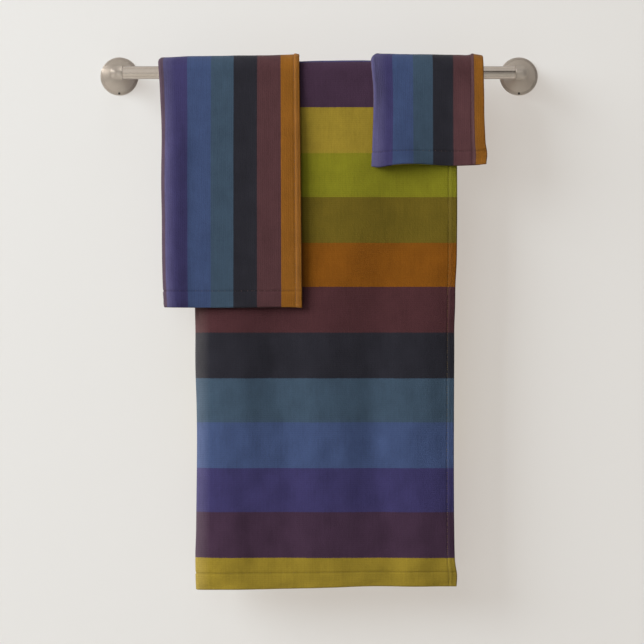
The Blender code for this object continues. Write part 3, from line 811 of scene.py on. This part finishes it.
def stitching(name, towel, across, along, finish):
    """Short capsules of thread that lie on a towel's outer skin, one at each place. Each has five rings."""
    across, along = np.broadcast_arrays(across, along)
    middle = towel.centre(across, along)
    square = towel.outward(across, along)
    seat = middle + square * (towel.half(across, along) + 0.3 * STITCH_THICK)[:, None]
    ahead = np.gradient(middle, axis=0)
    ahead /= np.linalg.norm(ahead, axis=-1, keepdims=True)
    beside = np.cross(ahead, square)
    ring = np.linspace(0, 2 * np.pi, STITCH_SIDES, endpoint=False)[None, :, None]
    reach = np.array([-1.0, -0.8, 0.0, 0.8, 1.0]) * STITCH_LONG / 2
    thick = np.array([0.15, 0.8, 1.0, 0.8, 0.15]) * STITCH_THICK
    dip = np.array([-1.1, -0.25, 0.0, -0.25, -1.1]) * STITCH_THICK
    seat, ahead, square, beside = (each[:, None, :] for each in (seat, ahead, square, beside))
    line = seat + reach[None, :, None] * ahead + dip[None, :, None] * square
    turn = np.cos(ring) * square + np.sin(ring) * beside
    points = line[:, :, None, :] + thick[None, :, None, None] * turn[:, None, :, :]
    gaps, steps = np.arange(len(reach) - 1), np.arange(STITCH_SIDES)
    stitch, i, j = np.meshgrid(np.arange(len(across)), gaps, steps, indexing="ij")
    row = (stitch * len(reach) + i) * STITCH_SIDES
    after, step = row + STITCH_SIDES, (j + 1) % STITCH_SIDES
    sides = np.stack([row + j, row + step, after + step, after + j], -1)
    made = surface(name, points.reshape(-1, 3), sides.reshape(-1, 4), finish)
    work = bmesh.new()
    work.from_mesh(made.data)
    bmesh.ops.holes_fill(work, edges=work.edges, sides=STITCH_SIDES)
    bmesh.ops.recalc_face_normals(work, faces=work.faces)
    work.to_mesh(made.data)
    work.free()
    return made


YARNS = {
    "gold": (0.241, 0.174, 0.022),
    "plum": (0.046, 0.0243, 0.0454),
    "indigo": (0.0383, 0.0334, 0.104),
    "blue": (0.0443, 0.0672, 0.150),
    "teal": (0.0408, 0.0672, 0.102),
    "charcoal": (0.019, 0.0188, 0.0253),
    "maroon": (0.0592, 0.0224, 0.026),
    "rust": (0.174, 0.0605, 0.0056),
    "olive": (0.113, 0.0823, 0.0101),
    "lime": (0.166, 0.160, 0.0114),
}
# The small towels' yarns, with painted light: their maroon and rust are lighter, standing in for the light on
# the hand towel's right part.
SMALL_YARNS_AND_PAINTED_LIGHT = dict(
    YARNS,
    indigo=(0.0408, 0.0365, 0.1067),
    blue=(0.0405, 0.0623, 0.1385),
    teal=(0.0388, 0.064, 0.0976),
    charcoal=(0.0185, 0.0183, 0.0243),
    maroon=(0.068, 0.030, 0.0336),
    rust=(0.209, 0.083, 0.012),
)


def stripe_round(name, yarns):
    """Shared effect: ten yarn colours in turn. The whole part of the place picks one, and loops that lean over
    roughen each edge."""
    group = bpy.data.node_groups.new(name, "ShaderNodeTree")
    for socket, kind in (("Place", "NodeSocketFloat"), ("Cloth", "NodeSocketVector")):
        group.interface.new_socket(socket, in_out="INPUT", socket_type=kind)
    group.interface.new_socket("Color", in_out="OUTPUT", socket_type="NodeSocketColor")
    start = group.nodes.new("NodeGroupInput")
    end = group.nodes.new("NodeGroupOutput")
    loops = node(group, "ShaderNodeTexNoise", Vector=start.outputs["Cloth"], Scale=650.0, Detail=1.0)
    lean = maths(group, "MULTIPLY_ADD", loops.outputs["Fac"], 0.020, -0.010)
    place = maths(group, "MULTIPLY", maths(group, "ADD", start.outputs["Place"], lean), 0.1)
    turn = maths(group, "FLOORED_MODULO", place, 1.0)
    ramp = node(group, "ShaderNodeValToRGB", Fac=turn)
    ramp.color_ramp.interpolation = "CONSTANT"
    while len(ramp.color_ramp.elements) < len(yarns):
        ramp.color_ramp.elements.new(0.5)
    for i, yarn in enumerate(yarns.values()):
        ramp.color_ramp.elements[i].position = i / len(yarns)
        ramp.color_ramp.elements[i].color = (*yarn, 1)
    group.links.new(ramp.outputs["Color"], end.inputs["Color"])
    return group


def terry_pile():
    """Shared effect: rows of upright loops. It gives their height, the streaks that the rows leave along the
    cloth, and broad cloudy patches where the pile lies differently."""
    group = bpy.data.node_groups.new("terry_pile", "ShaderNodeTree")
    group.interface.new_socket("Cloth", in_out="INPUT", socket_type="NodeSocketVector")
    for name in ("Height", "Streak", "Cloud"):
        group.interface.new_socket(name, in_out="OUTPUT", socket_type="NodeSocketFloat")
    start = group.nodes.new("NodeGroupInput")
    end = group.nodes.new("NodeGroupOutput")
    cloth_place = start.outputs["Cloth"]
    rows = node(group, "ShaderNodeMapping", Vector=cloth_place, Scale=(820, 560, 1)).outputs[0]
    loops = node(group, "ShaderNodeTexVoronoi", {"feature": "SMOOTH_F1"}, Vector=rows, Scale=1.0)
    fluff = node(group, "ShaderNodeTexNoise", Vector=cloth_place, Scale=1500.0, Detail=2.0)
    height = maths(group, "MULTIPLY", fluff.outputs["Fac"], 0.5)
    height = maths(group, "SUBTRACT", height, maths(group, "MULTIPLY", loops.outputs["Distance"], 0.9))
    long = node(group, "ShaderNodeMapping", Vector=cloth_place, Scale=(430, 26, 1)).outputs[0]
    streak = node(group, "ShaderNodeTexNoise", Vector=long, Scale=1.0, Detail=3.0)
    cloud = node(group, "ShaderNodeTexNoise", Vector=cloth_place, Scale=34.0, Detail=3.0)
    group.links.new(height, end.inputs["Height"])
    group.links.new(streak.outputs["Fac"], end.inputs["Streak"])
    group.links.new(cloud.outputs["Fac"], end.inputs["Cloud"])
    return group


BATH_STRIPES = stripe_round("bath_stripes", YARNS)
SMALL_STRIPES = stripe_round("small_towel_stripes", SMALL_YARNS_AND_PAINTED_LIGHT)
PILE = terry_pile()
RIB = 0.0029  # from one rib of the weave to the next
REVERSE_COTTON = (0.62, 0.59, 0.53, 1)


FOLD_HIGHLIGHT_WIDTH = 0.023  # how far from the fold the painted highlight on its roll reaches, where the bend also parts the loops
RIDGE_HIGHLIGHT_WIDTH = 0.0042
SEAM_WIDTH = 0.0022
PAINTED_HIGHLIGHT_LIGHTER, PARTED_GROUND = 0.16, 0.035  # painted highlight along the fold and on the ridge beside the side hem, where the loops also part and show the ground cloth between them
# Painted shade in the seams' grooves, where the pile is also flattened.
SEAM_PAINTED_SHADE = 0.22
STREAK_SHARE, CLOUD_SHARE, HEIGHT_SHARE, RIB_SHARE = 0.30, 0.36, 0.20, 0.035
TONE_FLOOR = 0.66


def terry(name, lengthwise, first, pitch, offset, towel):
    """Striped terry on the cloth's own places. Stripe number = offset + (distance - first) / pitch, with the
    distance measured from the front hem, or from the outer side edge where the stripes run lengthwise. The
    inner skin is plain. The tone rises with streaks, clouds, loops and ribs, and with a painted highlight
    along the fold and beside the side hem, where the loops also part. It drops in painted shade at the seams,
    where the pile is also flattened."""
    made, shader, tree = material(name, (0.1, 0.08, 0.05), 0.95)
    shader.inputs["Specular IOR Level"].default_value = 0.08
    shader.inputs["Sheen Weight"].default_value = 0.08
    shader.inputs["Sheen Roughness"].default_value = 0.45
    place = node(tree, "ShaderNodeUVMap", {"uv_map": "cloth"}).outputs["UV"]
    axes = node(tree, "ShaderNodeSeparateXYZ", Vector=place)
    across, along = axes.outputs["X"], axes.outputs["Y"]
    from_outer = maths(tree, "MULTIPLY_ADD", across, -1.0, towel.outer)
    if lengthwise:
        stripes = SMALL_STRIPES
        number = maths(tree, "MULTIPLY_ADD", from_outer, -1 / pitch, offset + first / pitch)
    else:
        stripes = BATH_STRIPES
        number = maths(tree, "MULTIPLY_ADD", along, 1 / pitch, offset - first / pitch)
    yarn = node(tree, "ShaderNodeGroup", {"node_tree": stripes}, Place=number, Cloth=place).outputs[0]
    pile = node(tree, "ShaderNodeGroup", {"node_tree": PILE}, Cloth=place).outputs
    side = maths(tree, "MINIMUM", from_outer, maths(tree, "ADD", across, towel.inner))
    end = maths(tree, "MINIMUM", along, maths(tree, "MULTIPLY_ADD", along, -1.0, towel.length))
    in_side = maths(tree, "LESS_THAN", side, towel.side_hem)
    turned_in = maths(tree, "MAXIMUM", in_side, maths(tree, "LESS_THAN", end, towel.hem))
    behind = node(tree, "ShaderNodeAttribute", {"attribute_name": "reverse"}).outputs["Fac"]
    behind = maths(tree, "GREATER_THAN", behind, 0.5)
    plain = maths(tree, "MULTIPLY", behind, maths(tree, "SUBTRACT", 1.0, turned_in))
    tone = maths(tree, "MULTIPLY_ADD", pile["Streak"], STREAK_SHARE, TONE_FLOOR)
    tone = maths(tree, "MULTIPLY_ADD", pile["Cloud"], CLOUD_SHARE, tone)
    tone = maths(tree, "MULTIPLY_ADD", pile["Height"], HEIGHT_SHARE, tone)
    rib = maths(tree, "MULTIPLY", across if lengthwise else along, 2 * np.pi / RIB)
    rib = maths(tree, "SINE", maths(tree, "MULTIPLY_ADD", pile["Cloud"], 3.0, rib))
    tone = maths(tree, "MULTIPLY_ADD", rib, RIB_SHARE, tone)
    # Painted highlight on the fuller ridge beside the side hem. The towel's ridge sets how strong it is.
    ridge_highlight = maths(tree, "ABSOLUTE", maths(tree, "SUBTRACT", side, towel.side_hem - RIDGE_PLACE))
    ridge_highlight = maths(tree, "MULTIPLY_ADD", ridge_highlight, -1 / RIDGE_HIGHLIGHT_WIDTH, 1.0)
    ridge_highlight = maths(tree, "MULTIPLY", maths(tree, "MAXIMUM", ridge_highlight, 0.0), 1.2 * towel.ridge)
    # Painted highlight along the fold's roll.
    bend = maths(tree, "MULTIPLY_ADD", maths(tree, "ABSOLUTE", across), -1 / FOLD_HIGHLIGHT_WIDTH, 1.0)
    bend = maths(tree, "MULTIPLY", maths(tree, "MAXIMUM", bend, 0.0), 1.6)
    painted_highlight_and_parting = maths(tree, "MAXIMUM", maths(tree, "SMOOTH_MIN", bend, 1.0, 0.3), ridge_highlight)
    tone = maths(tree, "MULTIPLY", tone, maths(tree, "MULTIPLY_ADD", painted_highlight_and_parting, PAINTED_HIGHLIGHT_LIGHTER, 1.0))
    # Painted shade along the side and end seams, where the pile is also flattened.
    from_seam = maths(tree, "ABSOLUTE", maths(tree, "SUBTRACT", side, towel.side_hem))
    from_end_seam = maths(tree, "ABSOLUTE", maths(tree, "SUBTRACT", end, towel.hem))
    seam_shade = maths(tree, "MINIMUM", from_seam, from_end_seam)
    seam_shade = maths(tree, "MAXIMUM", maths(tree, "MULTIPLY_ADD", seam_shade, -1 / SEAM_WIDTH, 1.0), 0.0)
    tone = maths(tree, "MULTIPLY", tone, maths(tree, "MULTIPLY_ADD", seam_shade, -SEAM_PAINTED_SHADE, 1.0))
    coloured = mixed(tree, plain, yarn, REVERSE_COTTON)
    ground = mixed(tree, maths(tree, "MULTIPLY", painted_highlight_and_parting, PARTED_GROUND), coloured, REVERSE_COTTON)
    shaded = node(tree, "ShaderNodeVectorMath", {"operation": "SCALE"}, Vector=ground, Scale=tone)
    relief = maths(tree, "MULTIPLY_ADD", rib, 0.12, pile["Height"])
    bump = node(tree, "ShaderNodeBump", Strength=0.55, Distance=0.0007, Height=relief)
    tree.links.new(shaded.outputs[0], shader.inputs["Base Color"])
    tree.links.new(bump.outputs[0], shader.inputs["Normal"])
    return made


def bath_sway(x, fall, hang):
    """Soft upright folds in the front: a sine across it whose crests drift to the right towards the bar, plus
    a lean back towards the fold. Under the small towels it only leans back, and it rises a little to the hand
    towel's edge. The back has gentler folds."""
    low = ease((-fall - 0.30) / 0.12)
    hem = 1 - 0.75 * ease((0.05 - (0.762 + fall)) / 0.05)
    drift = 0.045 * ease((0.40 + fall) / 0.19)
    wave = np.sin(2 * np.pi * (x - 0.275 - drift) / 0.142)
    high = ease((-fall - 0.02) / 0.12)
    back_lean = -0.011 * np.exp(-(x - bath_low[0]) / 0.020) * low
    rise = ease((x - 0.200) / 0.060) - ease((x - 0.262) / 0.055)
    rise = 0.0013 * rise * ease((-fall - 0.01) / 0.06) * (1 - ease((-fall - 0.33) / 0.07))
    front = (0.0032 * low * wave + 0.0022 * (1 - low) * high * (wave - 1)) * hem + back_lean + rise
    behind = -0.0022 * ease(hang / 0.15) * (1 - np.cos(2 * np.pi * (x - 0.15) / 0.17))
    return front, behind


bath_low, bath_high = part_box("bath_arch")
BATH_DROP = BAR_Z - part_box("bath_front_lower_hem")[0][2]
PAST_ARCH = 0.10  # from the arch's end down to where the two meshes meet
bath = Hung(
    width=0.762, length=1.524, drop=BATH_DROP - 0.0006, radius=0.0146, low=bath_low[0], high=bath_high[0],
    left=curve(
        (0.02, -0.10, -0.354, -0.375, -0.437, -0.458, -0.48, -0.645, -0.686, -0.707, -0.727, -0.748, -0.766),
        (-0.5, -0.7, -1.2, -0.8, -0.8, -0.2, 0.6, 0.6, 0.0, -0.8, -0.8, 0.0, 0.8),
    ),
    right=curve(
        (0.02, -0.144, -0.227, -0.289, -0.31, -0.351, -0.372, -0.413, -0.682, -0.703, -0.724, -0.745, -0.766),
        (0.1, 2.1, 2.1, 1.1, -0.1, -0.9, -1.8, -2.0, -2.0, -1.7, -0.7, 2.1, 1.1),
    ),
    bottom=curve(
        (-0.010, 0.013, 0.036, 0.12, 0.20, 0.26, 0.32, 0.395),
        (1.4, 1.4, 0.9, -0.4, -2.6, -4.4, -4.2, -4.2), bath_low[0],
    ),
    crown=curve((0, 0.125, 0.152, 0.4), (-0.3, -0.3, 0.8, 0.9), bath_low[0]), puff=curve((0, 0.1), (0, 0)),
    roll=CLOTH_HALF + LAYER_CLEAR, roll_low=0.0034, inward=1.0, hem=0.024, side_hem=0.0115, ridge=0.2,
    sway=bath_sway, seed=4, free=(0.0002, 0.0009, 0.35), taken_up=0.0, back_inset=0.0035,
)
BATH_SEAM = bath.drop + np.pi * bath.radius + PAST_ARCH
BATH_GAP = 0.0058


RIM_GAP, SEAM_GAP, BEND_GAP = 0.0004, 0.0009, 0.0014  # between the mesh's lines
RIM_REACH, BEND_REACH = 0.002, 0.022


def across_grid(towel, coarse):
    """Places across a towel: fine at its rims and stitches and round its fold."""
    near_hem = towel.side_hem + 0.004
    return stations(
        (-towel.inner, RIM_GAP), (-towel.inner + RIM_REACH, SEAM_GAP), (-towel.inner + near_hem, coarse),
        (-BEND_REACH, BEND_GAP), (BEND_REACH, coarse), (towel.outer - near_hem, SEAM_GAP),
        (towel.outer - RIM_REACH, RIM_GAP), (towel.outer,),
    )


def along_grid(towel, start, end, coarse, over_bar):
    """Places along a towel from start to end: fine at the rims, the hems and over the bar."""
    arch_end = towel.drop + np.pi * towel.radius
    near_hem = towel.hem + 0.005
    marks = [
        (0, RIM_GAP), (RIM_REACH, BEND_GAP), (near_hem, coarse), (towel.drop - 0.01, over_bar),
        (arch_end + 0.01, coarse), (towel.length - near_hem, BEND_GAP), (towel.length - RIM_REACH, RIM_GAP),
    ]
    inside = [mark for mark in marks if start < mark[0] < end]
    first = (start, RIM_GAP if start == 0 else coarse)
    return stations(first, *inside, (end,))


bath_terry = terry("bath_terry", False, 0.0455, 0.06645, 1.0, bath)
bath_across = across_grid(bath, BATH_GAP)
front_along = along_grid(bath, 0, BATH_SEAM, BATH_GAP, 0.0022)
bath_front = cloth("bath_towel_front", bath, bath_across, front_along, bath_terry)
back_along = along_grid(bath, BATH_SEAM, bath.length, BATH_GAP, 0.0022)
bath_back = cloth("bath_towel_back", bath, bath_across, back_along, bath_terry)


def thread(name, colour):
    """Sewing thread with a faint twist."""
    made, shader, tree = material(name, colour, 0.75)
    place = node(tree, "ShaderNodeTexCoord").outputs["Object"]
    twist = node(tree, "ShaderNodeTexWave", Vector=place, Scale=900.0, Distortion=2.0)
    bump = node(tree, "ShaderNodeBump", Strength=0.3, Distance=0.0001, Height=twist.outputs["Fac"])
    tree.links.new(bump.outputs[0], shader.inputs["Normal"])
    return made


def hem_stitches(name, towel, side_end, finish):
    """Stitches along a towel's front hem, its back hem, and its side hem as far as the side's end."""
    level = np.arange(0.006, towel.outer - 0.010, STITCH_PITCH)
    upright = np.arange(0.008, side_end, STITCH_PITCH)
    return [
        stitching(f"{name}_front_hem_stitches", towel, level, towel.hem, finish),
        stitching(f"{name}_back_hem_stitches", towel, level, towel.length - towel.hem, finish),
        stitching(f"{name}_side_hem_stitches", towel, towel.outer - towel.side_hem, upright, finish),
    ]


bath_thread = thread("bath_thread", (0.16, 0.11, 0.03))
front_stitches, back_stitches, side_stitches = hem_stitches("bath", bath, BATH_SEAM - 0.002, bath_thread)
for piece in (bath_front, front_stitches, side_stitches):
    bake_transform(piece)
for piece in (bath_back, back_stitches):
    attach(piece, "bath_towel")
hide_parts("bath_arch", "bath_front_upper_flap", "bath_front_lower_flap", "bath_front_lower_hem")
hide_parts("bath_back_flap", "bath_back_hem")


# ==== Hand towel =========================================================================================
# The same terry with its stripes lengthwise, folded once and hung over the bath towel's left part.


def hand_sway(x, fall, hang):
    """Both sides stand a little off the bath towel and ripple gently."""
    away = x - hand_low[0]
    front = 0.0012 * ease(-fall / 0.04) + 0.0006 * ease(-fall / 0.10) * (1 - np.cos(away / 0.019))
    return front, 0.0012 * ease(hang / 0.04) + 0.0009 * ease(hang / 0.12) * (1 - np.cos(away / 0.017))


hand_low, hand_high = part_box("hand_arch")
HAND_DROP = BAR_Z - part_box("hand_front_hem")[0][2]
hand = Hung(
    width=0.406, length=0.762, drop=HAND_DROP - 0.0004, radius=0.0214, low=hand_low[0],
    high=hand_high[0] - 0.0002,
    left=curve(
        (0.0218, 0.0205, 0.0175, 0.010, 0, -0.014, -0.049, -0.067, -0.174, -0.209, -0.28, -0.316, -0.334,
         -0.348),
        (1.0, -1.6, -3.2, -3.2, -2.4, -1.4, 0.4, 1.4, 1.5, 2.2, 2.8, 3.9, 5.2, 6.2),
    ),
    right=curve((0.027, -0.1, -0.2, -0.347), (-0.9, 1.0, 2.2, 3.6)),
    bottom=curve((0, 0.04, 0.12, 0.19, 0.21), (0.9, 1.4, 1.4, 0.9, 1.5), hand_low[0]),
    crown=curve(
        (-0.005, 0.004, 0.013, 0.031, 0.049, 0.076, 0.147, 0.182, 0.191, 0.200, 0.206),
        (-0.3, -0.2, 0.0, 0.8, 1.8, 2.2, 2.8, 3.8, 4.1, 4.9, 4.2), hand_low[0],
    ),
    puff=curve(
        (0, 0.003, 0.005, 0.008, 0.011, 0.014, 0.017, 0.020, 0.023, 0.026, 0.032, 0.038, 0.044, 0.060, 0.10,
         0.15),
        (0, 1.1, 1.68, 2.25, 2.6, 2.75, 2.82, 2.75, 2.55, 2.22, 1.38, 0.63, 0.3, 0.15, 0.05, 0),
    ),
    roll=0.0017, roll_low=0.0030, inward=0.0, hem=0.024, side_hem=0.009, ridge=0.45,
    sway=hand_sway, seed=11, free=(0.00025, 0.00045, 0.03), taken_up=0.004, back_inset=0.004,
)
SMALL_NODES = ("arch", "bend", "front_flap", "front_hem", "back_flap", "back_hem")


def small_towel(name, body, towel, finish):
    """Makes a small towel with its stitches, and hides the CAD parts it stands for."""
    along = along_grid(towel, 0, towel.length, 0.005, 0.0024)
    piece = cloth(f"{body}_cloth", towel, across_grid(towel, 0.0045), along, finish)
    stitches = hem_stitches(name, towel, towel.length - 0.008, small_thread)
    for part in (piece, *stitches):
        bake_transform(part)
    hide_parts(*(f"{name}_{node_name}" for node_name in SMALL_NODES))


small_thread = thread("hand_thread", (0.10, 0.06, 0.05))
hand_terry = terry("hand_terry", True, 0.0295, 0.03442, 7.0, hand)
small_towel("hand", "hand_towel", hand, hand_terry)


# ==== Washcloth ==========================================================================================
# A square of the same terry, folded once and hung over the bath towel's right edge, with stripes lengthwise.


def wash_sway(x, fall, hang):
    """The front turns out again beyond the bath towel's edge. The back ripples gently."""
    away = x - wash_low[0]
    front = (0.0008 + 0.0085 * ease((away - 0.108) / 0.048)) * ease(-fall / 0.05)
    return front, 0.0012 * ease(hang / 0.04) + 0.0008 * ease(hang / 0.10) * (1 - np.cos(away / 0.016))


wash_low, wash_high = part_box("washcloth_arch")
WASH_DROP = BAR_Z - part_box("washcloth_front_hem")[0][2]
washcloth = Hung(
    width=0.330, length=0.330, drop=WASH_DROP - 0.0004, radius=0.0225, low=wash_low[0],
    high=wash_high[0] - 0.0050,
    left=curve(
        (0.0225, 0.0213, 0.019, 0.0126, 0, -0.02, -0.06, -0.10, -0.139),
        (4.0, 0.6, -1.5, -2.0, -1.0, 0.8, 1.3, 0.0, -1.2),
    ),
    right=curve(
        (0.02, -0.03, -0.073, -0.091, -0.109, -0.117, -0.126, -0.135, -0.14),
        (0.8, 1.4, 1.7, 2.6, 3.7, 5.1, 5.7, 4.6, 4.2),
    ),
    bottom=curve(
        (0, 0.012, 0.019, 0.027, 0.135, 0.157, 0.169), (2.0, 2.6, 1.5, 0.2, 0.4, -0.4, -1.7), wash_low[0]
    ),
    crown=curve(
        (-0.002, 0.0075, 0.030, 0.045, 0.06, 0.11, 0.133, 0.1405, 0.1475, 0.1555, 0.1625),
        (0.5, 2.3, 3.9, 3.8, 3.3, 2.9, 2.5, 1.9, 3.2, 2.5, 1.1), wash_low[0],
    ),
    puff=curve(
        (0, 0.003, 0.008, 0.011, 0.016, 0.020, 0.025, 0.030, 0.045, 0.060, 0.070, 0.085, 0.10, 0.12, 0.16),
        (0, 1.07, 2.32, 2.91, 3.62, 4.01, 4.29, 4.36, 4.03, 3.2, 2.6, 1.85, 1.3, 1.0, 0.9),
    ),
    roll=0.0028, roll_low=0.0030, inward=0.0, hem=0.021, side_hem=0.0185, ridge=0.45,
    sway=wash_sway, seed=23, free=(0.00025, 0.0004, 0.03), taken_up=0.004, back_inset=0.003,
)
wash_terry = terry("washcloth_terry", True, 0.0153, 0.0307, 7.0, washcloth)
small_towel("washcloth", "washcloth", washcloth, wash_terry)
